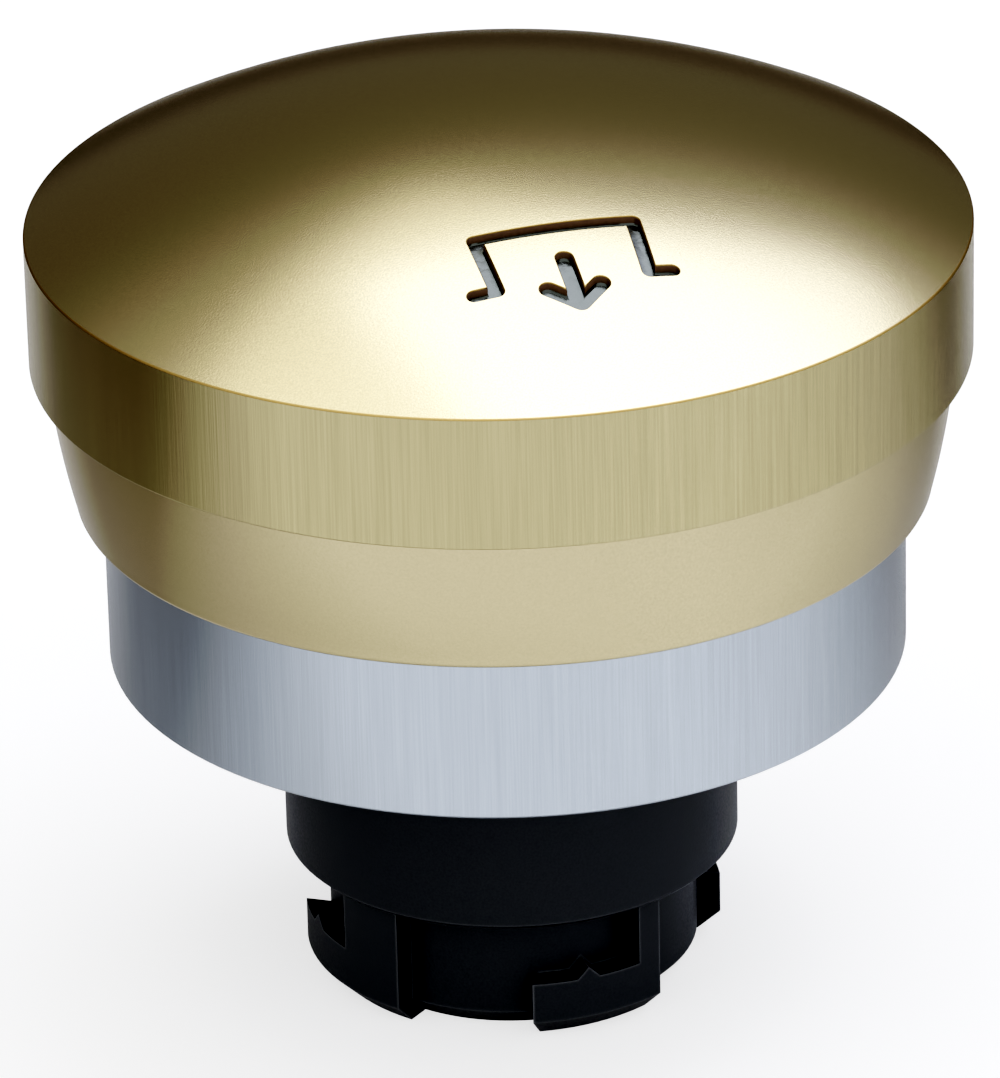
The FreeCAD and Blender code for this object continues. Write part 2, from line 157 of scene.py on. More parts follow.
def spread(made, value, low, high, start=0.25, end=0.75):
    """A value from start to end mapped onto low to high."""
    node = made.node_tree.nodes.new("ShaderNodeMapRange")
    for socket, number in zip(("From Min", "From Max", "To Min", "To Max"), (start, end, low, high)):
        node.inputs[socket].default_value = number
    made.node_tree.links.new(value, node.inputs["Value"])
    return node.outputs["Result"]


def mixed(made, value, dark, light):
    """A colour between dark and light as value goes from 0 to 1."""
    node = made.node_tree.nodes.new("ShaderNodeMix")
    node.data_type = "RGBA"
    node.inputs["A"].default_value = (*dark, 1)
    node.inputs["B"].default_value = (*light, 1)
    made.node_tree.links.new(value, node.inputs["Factor"])
    return node.outputs["Result"]


def plug(made, socket, value):
    """Joins a node's output to a socket of the material's shader."""
    made.node_tree.links.new(value, made.node_tree.nodes["Principled BSDF"].inputs[socket])


def bump(made, height, strength, depth):
    """Raises the surface by a height pattern, depth in millimetres."""
    node = made.node_tree.nodes.new("ShaderNodeBump")
    node.inputs["Strength"].default_value = strength
    node.inputs["Distance"].default_value = depth * MM
    made.node_tree.links.new(height, node.inputs["Height"])
    plug(made, "Normal", node.outputs["Normal"])


def combined(made, operation, value, other):
    """Arithmetic on a node's output and another output or a number."""
    node = made.node_tree.nodes.new("ShaderNodeMath")
    node.operation = operation
    made.node_tree.links.new(value, node.inputs[0])
    if isinstance(other, (int, float)):
        node.inputs[1].default_value = other
    else:
        made.node_tree.links.new(other, node.inputs[1])
    return node.outputs["Value"]


def edge_highlights(made, face, colour, width=0.2):
    """A face colour with painted highlights of another colour on its edges, width in millimetres."""
    nodes, links = made.node_tree.nodes, made.node_tree.links
    rounded = nodes.new("ShaderNodeBevel")
    true = nodes.new("ShaderNodeNewGeometry")
    apart = nodes.new("ShaderNodeVectorMath")
    blend = nodes.new("ShaderNodeMix")
    apart.operation = "DISTANCE"
    blend.data_type = "RGBA"
    rounded.inputs["Radius"].default_value = width * MM
    blend.inputs["B"].default_value = (*colour, 1)
    links.new(rounded.outputs["Normal"], apart.inputs[0])
    links.new(true.outputs["Normal"], apart.inputs[1])
    links.new(spread(made, apart.outputs["Value"], 0, 1, 0.1, 0.7), blend.inputs["Factor"])
    links.new(face, blend.inputs["A"])
    return blend.outputs["Result"]


def shade(colour, share):
    """A colour made darker or lighter, kept within 1."""
    return [min(1.0, c * share) for c in colour]


# ---------------------------------------------------------------- materials
def grained_metal(name, colour, roughness, grain, contrast=0.03, depth=0.0015):
    """Blasted or plain metal with a fine round grain."""
    made = material(name, colour, metallic=1.0, roughness=roughness)
    pattern = noise(made, grain, detail=3)
    share = spread(made, pattern, 0, 1, 0.3, 0.7)
    plug(made, "Base Color", mixed(made, share, shade(colour, 1 - contrast), shade(colour, 1 + contrast)))
    plug(made, "Roughness", spread(made, pattern, roughness + 0.02, roughness - 0.02))
    bump(made, pattern, 1.0, depth)
    return made


def brushed_metal(name, colour, roughness, contrast=0.11):
    """Metal brushed along the axis: fine streaks over broader, fainter ones."""
    made = material(name, colour, metallic=1.0, roughness=roughness)
    fine = noise(made, 0.08, (1, 1, 80), detail=4)
    broad = noise(made, 0.35, (1, 1, 40), detail=2)
    parts = [combined(made, "MULTIPLY", streaks, share) for streaks, share in ((fine, 0.7), (broad, 0.3))]
    pattern = combined(made, "ADD", *parts)
    share = spread(made, pattern, 0, 1, 0.35, 0.65)
    plug(made, "Base Color", mixed(made, share, shade(colour, 1 - contrast), shade(colour, 1 + contrast)))
    plug(made, "Roughness", spread(made, fine, roughness + 0.03, roughness - 0.03))
    bump(made, pattern, 1.0, 0.006)
    return made


def moulded(name, colour, roughness, grain=0.12, depth=0.006, specular=0.3, edges=None):
    """Moulded plastic or rubber with a fine spark-eroded texture, and painted highlights on its edges when
    an edge colour is given.
    """
    made = material(name, colour, roughness=roughness, specular_ior_level=specular)
    pattern = noise(made, grain, detail=2)
    face = mixed(made, pattern, shade(colour, 0.75), shade(colour, 1.3))
    # the edge colour is a painted highlight along the edges, found by the bevel node
    plug(made, "Base Color", edge_highlights(made, face, edges) if edges else face)
    plug(made, "Roughness", spread(made, pattern, roughness - 0.06, roughness + 0.08))
    bump(made, pattern, 0.6, depth)
    return made


GOLD = (0.52, 0.445, 0.26)
dome_gold = grained_metal("dome_gold", GOLD, 0.225, 0.09, 0.10, 0.004)
rim_gold = brushed_metal("rim_gold", (0.53, 0.465, 0.265), 0.21)
skirt_gold = grained_metal("skirt_gold", (0.63, 0.545, 0.33), 0.17, 0.12, 0.05)
# darker, rougher gold on the cap's rounded edges and the engraving's lip and walls: painted shade
edge_gold_painted_shade = grained_metal("edge_gold_painted_shade", (0.31, 0.215, 0.09), 0.32, 0.10)
inside_gold = grained_metal("inside_gold", GOLD, 0.4, 0.2)
ring_silver = brushed_metal("ring_silver", (0.53, 0.59, 0.65), 0.21, 0.07)
# the black plastic's lighter edge colour is a painted highlight on its edges
black_plastic = moulded("black_plastic", (0.023, 0.025, 0.027), 0.44, edges=(0.085, 0.088, 0.090))
enamel = moulded("enamel", (0.012, 0.011, 0.009), 0.17, 0.35, 0.016, 0.5)
enamel_inputs = enamel.node_tree.nodes["Principled BSDF"].inputs
enamel_inputs["IOR"].default_value = 1.62
enamel_inputs["Specular Tint"].default_value = (0.90, 1.0, 0.93, 1)
# matt brown enamel on the engraving's walls: painted shade of the walls
enamel_wall_painted_shade = moulded("enamel_wall_painted_shade", (0.062, 0.043, 0.028), 0.5, 0.25, 0.01, 0.1)
plunger_plastic = moulded("plunger_plastic", (0.05, 0.05, 0.055), 0.4)
foot_plastic = moulded("foot_plastic", (0.55, 0.54, 0.5), 0.4)
bush_plastic = moulded("bush_plastic", (0.6, 0.6, 0.57), 0.35)
soft_rubber = moulded("soft_rubber", (0.02, 0.02, 0.02), 0.7, specular=0.3)
brass = grained_metal("brass", (0.75, 0.55, 0.25), 0.3, 0.1)
steel = grained_metal("steel", (0.55, 0.56, 0.58), 0.3, 0.1)
spring_steel = grained_metal("spring_steel", (0.42, 0.42, 0.44), 0.25, 0.1)

FINISHES = {
    "gold_anodised": rim_gold,
    "black_enamel": enamel,
    "silver_anodised": ring_silver,
    "black_plastic": black_plastic,
    "plunger_plastic": plunger_plastic,
    "foot_plastic": foot_plastic,
    "bush_plastic": bush_plastic,
    "buffer_rubber": soft_rubber,
    "black_rubber": soft_rubber,
    "brass": brass,
    "steel": steel,
    "spring_steel": spring_steel,
}

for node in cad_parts.values():
    for slot in node.material_slots:
        slot.material = FINISHES[slot.material.name.split(".")[0]]


# ---------------------------------------------------------------- mesh helpers
class Surface:
    """The points and faces of a piece while it is built, in millimetres."""

    def __init__(self):
        self.points = []
        self.faces = []
        self.paints = []
        self.normals = {}

    def ring(self, points):
        first = len(self.points)
        self.points += points
        return list(range(first, len(self.points)))

    def face(self, corners, paint=0):
        self.faces.append(corners)
        self.paints.append(paint)

    def strip(self, lower, upper, paint=0):
        """Four-sided faces between two closed rings of as many points."""
        for k in range(len(lower)):
            after = (k + 1) % len(lower)
            self.face((lower[k], lower[after], upper[after], upper[k]), paint)

    def strips(self, rings, paint=0):
        for lower, upper in zip(rings, rings[1:]):
            self.strip(lower, upper, paint)

    def turn(self, profile, segments=SEGMENTS):
        """Rings round the axis for a list of (radius, height, paint), each with the paint of the band
        before it."""
        rings = []
        for radius, height, paint in profile:
            if radius == 0:
                rings.append(self.ring([(0, 0, height)]) * segments)
            else:
                rings.append(self.ring([on_circle(radius, k, segments, height) for k in range(segments)]))
            if len(rings) > 1:
                self.strip(rings[-2], rings[-1], paint)
        return rings

    def piece(self, name, materials, sharp_deg=40):
        """Makes the object: coincident points joined, faces turned outwards, sharp edges marked, and the
        exact normals set where they are known."""
        mesh = bpy.data.meshes.new(name)
        build = bmesh.new()
        layer = build.verts.layers.float_vector.new("exact_normal")
        corners = [build.verts.new([c * MM for c in point]) for point in self.points]
        for face, paint in zip(self.faces, self.paints):
            distinct = list(dict.fromkeys(face))
            if len(distinct) > 2:
                build.faces.new([corners[k] for k in distinct]).material_index = paint
        for k, normal in self.normals.items():
            corners[k][layer] = normal
        bmesh.ops.remove_doubles(build, verts=build.verts, dist=SAME_POINT * MM)
        bmesh.ops.dissolve_degenerate(build, edges=build.edges, dist=NO_EDGE * MM)
        bmesh.ops.recalc_face_normals(build, faces=build.faces)
        build.to_mesh(mesh)
        build.free()
        for made in materials:
            mesh.materials.append(made)
        mesh.shade_smooth()
        mesh.set_sharp_from_angle(angle=math.radians(sharp_deg))
        if self.normals:
            exact = [item.vector.copy() for item in mesh.attributes["exact_normal"].data]
            mesh.normals_split_custom_set_from_vertices(exact)
        mesh.attributes.remove(mesh.attributes["exact_normal"])
        made = bpy.data.objects.new(name, mesh)
        bpy.context.scene.collection.objects.link(made)
        return made


def on_circle(radius, step, steps, height):
    angle = 2 * math.pi * step / steps
    return radius * math.cos(angle), radius * math.sin(angle), height


def arc(start, middle, end, steps, paint=0):
    """Profile points after start on the circle through three points."""
    ax, az, bx, bz, cx, cz = *start, *middle, *end
    twice = 2 * (ax * (bz - cz) + bx * (cz - az) + cx * (az - bz))
    sa, sb, sc = ax * ax + az * az, bx * bx + bz * bz, cx * cx + cz * cz
    centre_x = (sa * (bz - cz) + sb * (cz - az) + sc * (az - bz)) / twice
    centre_z = (sa * (cx - bx) + sb * (ax - cx) + sc * (bx - ax)) / twice
    radius = math.hypot(ax - centre_x, az - centre_z)
    first = math.atan2(az - centre_z, ax - centre_x)
    sweep = (math.atan2(cz - centre_z, cx - centre_x) - first + math.pi) % (2 * math.pi) - math.pi
    angles = [first + sweep * k / steps for k in range(1, steps + 1)]
    return [(centre_x + radius * math.cos(a), centre_z + radius * math.sin(a), paint) for a in angles]


# ---------------------------------------------------------------- the sign's outline
def walk_round(points):
    """A line of strokes walked there and back."""
    return points + points[-2:0:-1]


def outline(walk, reach):
    """Closed outline at a distance from a walk along strokes, on its right side. Its count of points
    is the same at any reach: round on outer corners and ends, mitred in inner corners."""
    groups = []
    for k, here in enumerate(walk):
        before, after = walk[k - 1], walk[(k + 1) % len(walk)]
        came = math.atan2(here[1] - before[1], here[0] - before[0])
        goes = math.atan2(after[1] - here[1], after[0] - here[0])
        turn = (goes - came + math.pi) % (2 * math.pi) - math.pi
        if abs(turn) > math.pi - TINY:
            turn = math.pi
        side = came - math.pi / 2
        if turn > 0:
            steps = math.ceil(math.degrees(turn) / OUTLINE_DEG)
            angles = [side + turn * i / steps for i in range(steps + 1)]
            far = reach
        else:
            angles = [side + turn / 2]
            far = reach / math.cos(turn / 2)
        groups.append([(here[0] + far * math.cos(a), here[1] + far * math.sin(a)) for a in angles])
    made = []
    for k, group in enumerate(groups):
        nearest, following = group[-1], groups[(k + 1) % len(groups)][0]
        here, after = walk[k], walk[(k + 1) % len(walk)]
        parts = max(1, round(math.dist(here, after) / OUTLINE_STEP))
        made += group
        for i in range(1, parts):
            made.append([a + (b - a) * i / parts for a, b in zip(nearest, following)])
    return made


def sign_walks():
    """The two closed walks of the sign, in the cap's plan, each with its half line width."""
    low, high = -BRACKET_OUT, -BRACKET_IN
    foot_x = BRACKET_HALF_W - BRACKET_LEAN
    right = [(BRACKET_HALF_W, high), (foot_x, low), (foot_x + BRACKET_FOOT, low)]
    left = [(-x, y) for x, y in reversed(right)]
    tip = (ARROW_SHIFT, -ARROW_OUT)
    stem = (ARROW_SHIFT, -ARROW_IN)
    barbs = [(ARROW_SHIFT + side * ARROW_BARB_W, -ARROW_BARB_IN) for side in (-1, 1)]
    arrow = [stem, tip, barbs[0], tip, barbs[1], tip]
    turn = Matrix.Rotation(math.radians(SIGN_ANGLE), 2)
    walks = ((walk_round(left + right), BRACKET_LINE / 2), (arrow, ARROW_LINE / 2))
    return [([tuple(turn @ Vector((x + SIGN_SHIFT, y))) for x, y in walk], half) for walk, half in walks]


def stroke_distance(point, walk):
    """How far a point is from the strokes of a walk."""
    found = []
    for a, b in zip(walk, walk[1:] + walk[:1]):
        run = Vector(b) - Vector(a)
        share = max(0.0, min(1.0, (Vector(point) - Vector(a)).dot(run) / run.length_squared))
        found.append((Vector(point) - Vector(a) - share * run).length)
    return min(found)


# ---------------------------------------------------------------- mushroom cap
def dome_z(x, y=0.0, depth=0.0):
    """Height of the dome, or of a surface a depth below it."""
    return DOME_CENTRE_Z + math.sqrt((DOME_SPHERE_R - depth) ** 2 - x * x - y * y)


def dome_normal(point):
    return (Vector(point) - Vector((0, 0, DOME_CENTRE_Z))).normalized()


def sunk_ring(surface, walk, reach, depth):
    return surface.ring([(x, y, dome_z(x, y, depth)) for x, y in outline(walk, reach)])


def cap_dome(surface, edge_ring):
    """The dome between its edge and the engraving, as triangles whose normals are the sphere's own."""
    edge = [surface.points[k][:2] for k in edge_ring]
    flat, edges, owners = list(edge), [], list(edge_ring)
    loops = [range(len(edge))]
    lips = []
    for walk, half in SIGN:
        lip = sunk_ring(surface, walk, half + LIP_BAND, 0)
        loops.append(range(len(flat), len(flat) + len(lip)))
        flat += [surface.points[k][:2] for k in lip]
        owners += lip
        lips.append(lip)
    for loop in loops:
        edges += [(loop[k], loop[(k + 1) % len(loop)]) for k in range(len(loop))]
    rings = int((CAP_R - CAP_EDGE) / DOME_STEP)
    for i in range(rings):
        radius = (CAP_R - CAP_EDGE) * i / rings
        count = max(1, round(2 * math.pi * radius / DOME_STEP))
        for k in range(count):
            x, y = on_circle(radius, k + 0.5 * (i % 2), count, 0)[:2]
            if all(stroke_distance((x, y), walk) > half + SIGN_CLEARANCE for walk, half in SIGN):
                owners += surface.ring([(x, y, dome_z(x, y))])
                flat.append((x, y))
    found = delaunay_2d_cdt([Vector(p) for p in flat], edges, [], 0, TINY)
    where = [owners[sources[0]] for sources in found[3]]
    for triangle in found[2]:
        middle = sum((found[0][k] for k in triangle), Vector((0, 0))) / 3
        if all(stroke_distance(middle, walk) > half + LIP_BAND for walk, half in SIGN):
            surface.face([where[k] for k in triangle])
    for k in where:
        surface.normals[k] = dome_normal(surface.points[k])
    return lips


def groove(surface, walk, half, lip):
    """Rounded lip, straight wall and round floor of the engraving, the lip and wall in a darker gold that
    is painted shade.
    """
    corner = [(LIP * (1 - math.sin(a)), LIP * (1 - math.cos(a))) for a in LIP_ANGLES]
    rings = [lip] + [sunk_ring(surface, walk, half + out, down) for out, down in corner]
    for k in rings[1]:
        surface.normals[k] = dome_normal(surface.points[k])
    surface.strips(rings[:2], PAINT_DOME)
    # the lip and wall take the darker gold of painted shade
    surface.strips(rings[1:], PAINT_SHADED_EDGE)
    floor = [(half, GROOVE_WALL)]
    for k in range(1, ROUND_STEPS + 1):
        angle = math.pi / 2 * k / ROUND_STEPS
        floor.append((half * math.cos(angle), GROOVE_WALL + (GROOVE_DEPTH - GROOVE_WALL) * math.sin(angle)))
    rings = [rings[-1]] + [sunk_ring(surface, walk, reach, depth) for reach, depth in floor]
    surface.strips(rings, PAINT_SHADED_EDGE)


def mushroom_cap():
    """One turned shell: engraved dome, brushed rim, satin skirt, and the boss inside."""
    surface = Surface()
    edge_r = CAP_R - CAP_EDGE
    outer = [(edge_r, dome_z(edge_r), 0)]
    across, down = (share * CAP_EDGE for share in EDGE_MIDDLE)
    # the dome's rounded edge takes the darker gold of painted shade
    outer += arc(outer[0][:2], (CAP_R - across, dome_z(edge_r) - down),
                 (CAP_R, dome_z(edge_r) - EDGE_FALL * CAP_EDGE), 4, PAINT_SHADED_EDGE)
    outer += [(CAP_R, RIM_Z - RIM_BAND, PAINT_RIM), (CAP_R, RIM_LOW_Z + RIM_BAND, PAINT_RIM)]
    outer += [(CAP_R, RIM_LOW_Z + RIM_ROUND, PAINT_RIM)]
    outer += arc(outer[-1][:2], (CAP_R - ROUND_MIDDLE * RIM_ROUND, RIM_LOW_Z + ROUND_MIDDLE * RIM_ROUND),
                 (CAP_R - RIM_ROUND, RIM_LOW_Z), 3, PAINT_RIM)
    outer += [(SKIRT_TOP_R, RIM_LOW_Z, PAINT_SKIRT)]
    low = (SKIRT_LOW_R, CAP_LOW.z + SKIRT_ROUND)
    outer += arc(outer[-1][:2], (SKIRT_MID_R, (RIM_LOW_Z + CAP_LOW.z) / 2), low, 16, PAINT_SKIRT)
    outer += arc(low, (SKIRT_LOW_R - ROUND_MIDDLE * SKIRT_ROUND, CAP_LOW.z + ROUND_MIDDLE * SKIRT_ROUND),
                 (SKIRT_LOW_R - SKIRT_ROUND, CAP_LOW.z), 5, PAINT_SKIRT)
    wall_top = (SKIRT_BORE_R, dome_z(SKIRT_BORE_R, 0, CAP_WALL))
    hub_top = (HUB_R, dome_z(HUB_R, 0, CAP_WALL))
    middle = (wall_top[0] + hub_top[0]) / 2
    inner = [(SKIRT_BORE_R + BORE_CHAMFER, CAP_LOW.z), (SKIRT_BORE_R, CAP_LOW.z + BORE_CHAMFER), wall_top]
    outer += [(*point, PAINT_INSIDE) for point in inner]
    outer += arc(wall_top, (middle, dome_z(middle, 0, CAP_WALL)), hub_top, 10, PAINT_INSIDE)
    boss = [(HUB_R, HUB_LOW_Z), (SOCKET_R, HUB_LOW_Z), (SOCKET_R, SOCKET_TOP_Z), (INSERT_R, SOCKET_TOP_Z),
            (INSERT_R, INSERT_TOP_Z), (0, INSERT_TOP_Z)]
    outer += [(*point, PAINT_INSIDE) for point in boss]
    rings = surface.turn(outer)
    for ring, step in zip(rings, outer):
        if abs(step[0] - CAP_R) < TINY:
            for k in ring:
                surface.normals[k] = Vector((*surface.points[k][:2], 0)).normalized()
    for lip, (walk, half) in zip(cap_dome(surface, rings[0]), SIGN):
        groove(surface, walk, half, lip)
    cap = surface.piece("cap_shell", [dome_gold, edge_gold_painted_shade, rim_gold, skirt_gold, inside_gold])
    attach(cap, MOVING_BODY)
    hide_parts("mushroom_cap")


def sign_enamel():
    """Enamel that lines the engraving: a shallow glossy floor between thin matt walls, whose brown is
    painted shade.
    """
    surface = Surface()
    for walk, half in SIGN:
        shell = half - ENAMEL_GAP
        trough = half - ENAMEL_WALL
        walls = [(shell, ENAMEL_DROP), (trough, ENAMEL_DROP + ENAMEL_FALL), (trough, ENAMEL_SIDE)]
        floor = []
        for k in range(1, FLOOR_STEPS + 1):
            share = math.cos(math.pi / 2 * k / FLOOR_STEPS)
            floor.append((trough * share, ENAMEL_DEPTH - (ENAMEL_DEPTH - ENAMEL_SIDE) * share * share))
        top = [sunk_ring(surface, walk, reach, depth) for reach, depth in walls]
        # the walls take the second material, the matt brown of painted shade
        surface.strips(top, 1)
        surface.strips([top[-1]] + [sunk_ring(surface, walk, reach, depth) for reach, depth in floor])
        under = [(shell, GROOVE_WALL)]
        for k in range(1, ROUND_STEPS + 1):
            angle = math.pi / 2 * k / ROUND_STEPS
            down = GROOVE_WALL + (GROOVE_DEPTH - ENAMEL_BED - GROOVE_WALL) * math.sin(angle)
            under.append((shell * math.cos(angle), down))
        rings = [top[0]] + [sunk_ring(surface, walk, reach, depth) for reach, depth in under]
        surface.strips(rings)
    fill = surface.piece("sign_enamel", [enamel, enamel_wall_painted_shade], 60)
    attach(fill, MOVING_BODY)
    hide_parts("pictogram_fill")


# ---------------------------------------------------------------- return spring and diaphragm
def spring_coil():
    """Round-wire coil with closed end turns, between its seat and the plunger's flange."""
    low, high = box("return_spring")
    wire = SPRING_WIRE_R
    mean_r = high.x - wire
    closed = SPRING_CLOSED_TURNS
    turns = SPRING_TURNS + 2 * closed
    rise = high.z - low.z - 2 * wire
    surface = Surface()
    rings = []
    for k in range(int(turns * COIL_STEPS) + 1):
        at = k / COIL_STEPS
        lead = 2 * wire * closed
        middle = min(max(at - closed, 0), turns - 2 * closed) / (turns - 2 * closed)
        ends = min(at, closed) / closed + max(at - turns + closed, 0) / closed
        z = low.z + wire + ends * lead * 0.5 + middle * (rise - lead)
        angle = 2 * math.pi * at
        slope = Vector((-math.sin(angle), math.cos(angle), SPRING_SLOPE)).normalized()
        out = Vector((math.cos(angle), math.sin(angle), 0))
        up = slope.cross(out)
        centre = out * mean_r + Vector((0, 0, z))
        around = [2 * math.pi * i / WIRE_POINTS for i in range(WIRE_POINTS)]
        rings.append(surface.ring([tuple(centre + out * wire * math.cos(a) + up * wire * math.sin(a))
                                   for a in around]))
    surface.strips(rings)
    surface.face(rings[0])
    surface.face(rings[-1])
    spring = surface.piece("spring_coil", [spring_steel])
    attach(spring, FIXED_BODY)
    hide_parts("return_spring")
    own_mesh(spring)


def bellows():
    """Rubber diaphragm: bead on the housing, one soft fold, ribbed sleeve on the cap's boss."""
    low, high = box("sealing_diaphragm")
    bead_r = high.x
    bead_z = low.z + BEAD_HEIGHT
    sleeve_in, sleeve_out = HUB_R + SLEEVE_GAP, HUB_R + SLEEVE_WALL
    sleeve_z = high.z - SLEEVE_HEIGHT
    outside = [(radius, bead_z + rise) for radius, rise in FOLD_OUTSIDE]
    inside = [(radius, bead_z + rise) for radius, rise in FOLD_INSIDE]
    bead = [(bead_r - BEAD_ROUND, low.z), (bead_r, low.z + BEAD_ROUND), (bead_r, bead_z - BEAD_ROUND),
            (bead_r - BEAD_ROUND, bead_z), (bead_r - BEAD_SHELF, bead_z)]
    outer = [(*point, 0) for point in bead]
    outer += arc(bead[-1], (bead_r - FOLD_INSET, bead_z + FOLD_LOW), outside[0], 12)
    outer += arc(*outside, (sleeve_out, sleeve_z + SLEEVE_FOOT), 10)
    outer += [(sleeve_out + out, high.z - down, 0) for out, down in SLEEVE_RIB]
    outer += [(sleeve_in, high.z, 0), (sleeve_in, sleeve_z, 0)]
    outer += arc((sleeve_in, sleeve_z), *inside[:2], 10)
    outer += arc(*inside[1:], (BEAD_BORE_R, bead_z), 12)
    outer += [(BEAD_BORE_R, low.z, 0)]
    surface = Surface()
    rings = surface.turn(outer, BELLOWS_SEGMENTS)
    surface.strip(rings[-1], rings[0])
    made = surface.piece("diaphragm_bellows", [soft_rubber])
    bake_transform(made)
    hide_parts("sealing_diaphragm")


SIGN = sign_walks()
mushroom_cap()
sign_enamel()
spring_coil()
bellows()


# ---------------------------------------------------------------- stage: floor, cards, lights, camera
def plane(name, size, centre, made, tilt=(0, 0, 0)):
    """A flat card of size (width, depth) round centre, in millimetres."""
    mesh = bpy.data.meshes.new(name)
    across, along = (s * MM / 2 for s in size)
    corners = [(-across, -along, 0), (across, -along, 0), (across, along, 0), (-across, along, 0)]
    mesh.from_pydata(corners, [], [(0, 1, 2, 3)])
    mesh.materials.append(made)
    card = bpy.data.objects.new(name, mesh)
    card.location = Vector(centre) * MM
    card.rotation_euler = Euler([math.radians(t) for t in tilt])
    bpy.context.scene.collection.objects.link(card)
    return card


FLOOR_Z = HOUSING_LOW.z
FLOOR_SIZE = (8000, 8000)
CARD_GAP = 0.2  # between the floor and the cards that lie at its level
FLOOR_GLOW, BACKDROP_GLOW = 0.7, 1.3

# Dark cloth on the floor: fades across its front edge and with the distance from the axis, in millimetres
DARK_CLOTH = (0.037, 0.032, 0.026)
EDGE_AZIMUTH, EDGE_FADE = 21, (-34, 20)
NEAR_SHARE, NEAR_FADE, FAR_FADE = 0.78, (20, 42), (42, 140)
PALE_PATCH, PALE_SHARE, PALE_FADE = 100, 0.55, (50, 90)

# The room's light by the cosine between a direction and ROOM_AXIS
ROOM_AXIS = Euler((0, 0, math.radians(12))).to_matrix() @ Vector((0, -0.94, 0.34))
ROOM = (
    (-0.58, (0.147, 0.142, 0.137)),
    (-0.20, (0.45, 0.44, 0.43)),
    (0.10, (1.10, 1.10, 1.12)),
    (0.90, (1.9, 1.9, 1.95)),
)


def seen_by(thing, camera, reflections, rest):
    """Which rays meet a card: the camera's, reflected ones, and all others with shadows."""
    thing.visible_camera = camera
    thing.visible_glossy = reflections
    thing.visible_diffuse = rest
    thing.visible_transmission = rest
    thing.visible_shadow = rest


def white_floor():
    """The floor that the camera sees: pale, with a little light of its own as on a light table, and clear
    from underneath."""
    made = material("white_floor", (0.5, 0.5, 0.5), roughness=1.0, specular_ior_level=0.0)
    shader = made.node_tree.nodes["Principled BSDF"]
    shader.inputs["Emission Color"].default_value = (1, 1, 1, 1)
    shader.inputs["Emission Strength"].default_value = FLOOR_GLOW
    nodes, links = made.node_tree.nodes, made.node_tree.links
    side = nodes.new("ShaderNodeNewGeometry")
    clear = nodes.new("ShaderNodeBsdfTransparent")
    either = nodes.new("ShaderNodeMixShader")
    links.new(side.outputs["Backfacing"], either.inputs["Fac"])
    links.new(shader.outputs["BSDF"], either.inputs[1])
    links.new(clear.outputs["BSDF"], either.inputs[2])
    links.new(either.outputs["Shader"], nodes["Material Output"].inputs["Surface"])
    seen_by(plane("floor", FLOOR_SIZE, (0, 0, FLOOR_Z), made), True, False, False)


def backdrop():
    """A pale dome behind the floor, seen by the camera in low views only."""
    made = material("backdrop", (0, 0, 0), roughness=1.0, specular_ior_level=0.0)
    shader = made.node_tree.nodes["Principled BSDF"]
    shader.inputs["Emission Color"].default_value = (1, 1, 1, 1)
    shader.inputs["Emission Strength"].default_value = BACKDROP_GLOW
    mesh = bpy.data.meshes.new("backdrop")
    shell = bmesh.new()
    bmesh.ops.create_uvsphere(shell, u_segments=64, v_segments=32, radius=0.49 * FLOOR_SIZE[0] * MM)
    shell.to_mesh(mesh)
    shell.free()
    mesh.materials.append(made)
    thing = bpy.data.objects.new("backdrop", mesh)
    bpy.context.scene.collection.objects.link(thing)
    seen_by(thing, True, False, False)


def lit_floor():
    """The floor that lights the object: pale grey, so that the metals keep their tone."""
    made = material("lit_floor", (0.50, 0.50, 0.50), roughness=1.0, specular_ior_level=0.0)
    seen_by(plane("floor_card", FLOOR_SIZE, (0, 0, FLOOR_Z - CARD_GAP), made), False, True, True)


def dark_disc(name, centre, radius, strength):
    """A soft round patch of dark cloth on the floor that only reflections see."""
    made = material(name + "_cloth", DARK_CLOTH, roughness=1.0, specular_ior_level=0.0)
    nodes, links = made.node_tree.nodes, made.node_tree.links
    place = nodes.new("ShaderNodeTexCoord")
    away = nodes.new("ShaderNodeVectorMath")
    away.operation = "LENGTH"
    links.new(place.outputs["Object"], away.inputs[0])
    plug(made, "Alpha", spread(made, away.outputs["Value"], strength, 0, 0, radius * MM))
    card = plane(name, (2 * radius, 2 * radius), (*centre, FLOOR_Z + 1.5 * CARD_GAP), made)
    seen_by(card, False, True, False)


